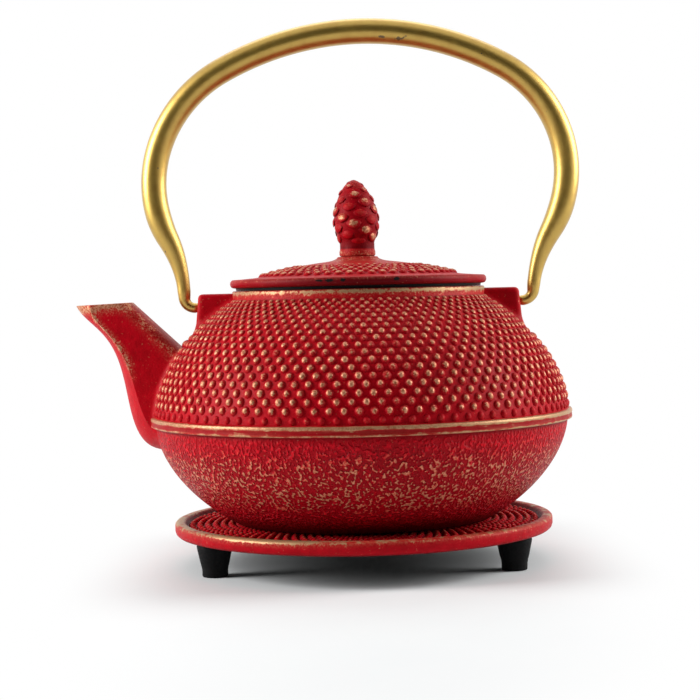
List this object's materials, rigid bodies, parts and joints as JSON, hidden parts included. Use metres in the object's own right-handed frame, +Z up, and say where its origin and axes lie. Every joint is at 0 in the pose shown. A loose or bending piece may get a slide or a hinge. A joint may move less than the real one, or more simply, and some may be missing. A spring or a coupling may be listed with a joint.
{
  "type": "teapot",
  "caption": "Squat round cast iron teapot with a hobnail dome, pine-cone lid knob, swinging bail, lift-out infuser and a footed trivet, for brewing and pouring tea.",
  "frame": {"origin": "on the floor under the middle of the whole part's bounding box; the pot's centre line stands 11.1 mm along +X from it", "axes": "+Z up, the spout points along -X, the bail's hinge line is parallel to X"},
  "size_m": [0.1878, 0.156, 0.2009],
  "materials": {
    "red_enamel": "satin red enamel over cast iron, gold brushed on the raised edges and nail tops",
    "gold_paint": "satin antique gold paint on bent steel tube",
    "stainless": "plain stainless sheet",
    "foot_rubber": "matt black rubber"
  },
  "bodies": {
    "trivet": {"trivet": "red_enamel", "trivet_foot_1": "foot_rubber", "trivet_foot_2": "foot_rubber", "trivet_foot_3": "foot_rubber"},
    "pot": {"pot_body": "red_enamel", "spout": "red_enamel", "spout_side_ear": "red_enamel", "rear_ear": "red_enamel"},
    "bail": {"bail_handle": "gold_paint"},
    "infuser": {"infuser_rim": "stainless", "infuser_wall": "stainless", "infuser_base": "stainless"},
    "lid": {"lid": "red_enamel", "lid_knob": "red_enamel", "knob_washer": "stainless", "knob_screw": "stainless"}
  },
  "joints": [
    {"name": "pot_lift", "type": "slide", "parent": "trivet", "child": "pot", "axis": [0, 0, 1], "range_m": [0, 0.06]},
    {"name": "bail_swing", "type": "hinge", "parent": "pot", "child": "bail", "pos_m": [0.011, 0, 0.0954], "axis": [1, 0, 0], "range_deg": [-115, 115]},
    {"name": "infuser_lift", "type": "slide", "parent": "pot", "child": "infuser", "axis": [0, 0, 1], "range_m": [0, 0.048]},
    {"name": "lid_lift", "type": "slide", "parent": "infuser", "child": "lid", "axis": [0, 0, 1], "range_m": [0, 0.048]}
  ]
}
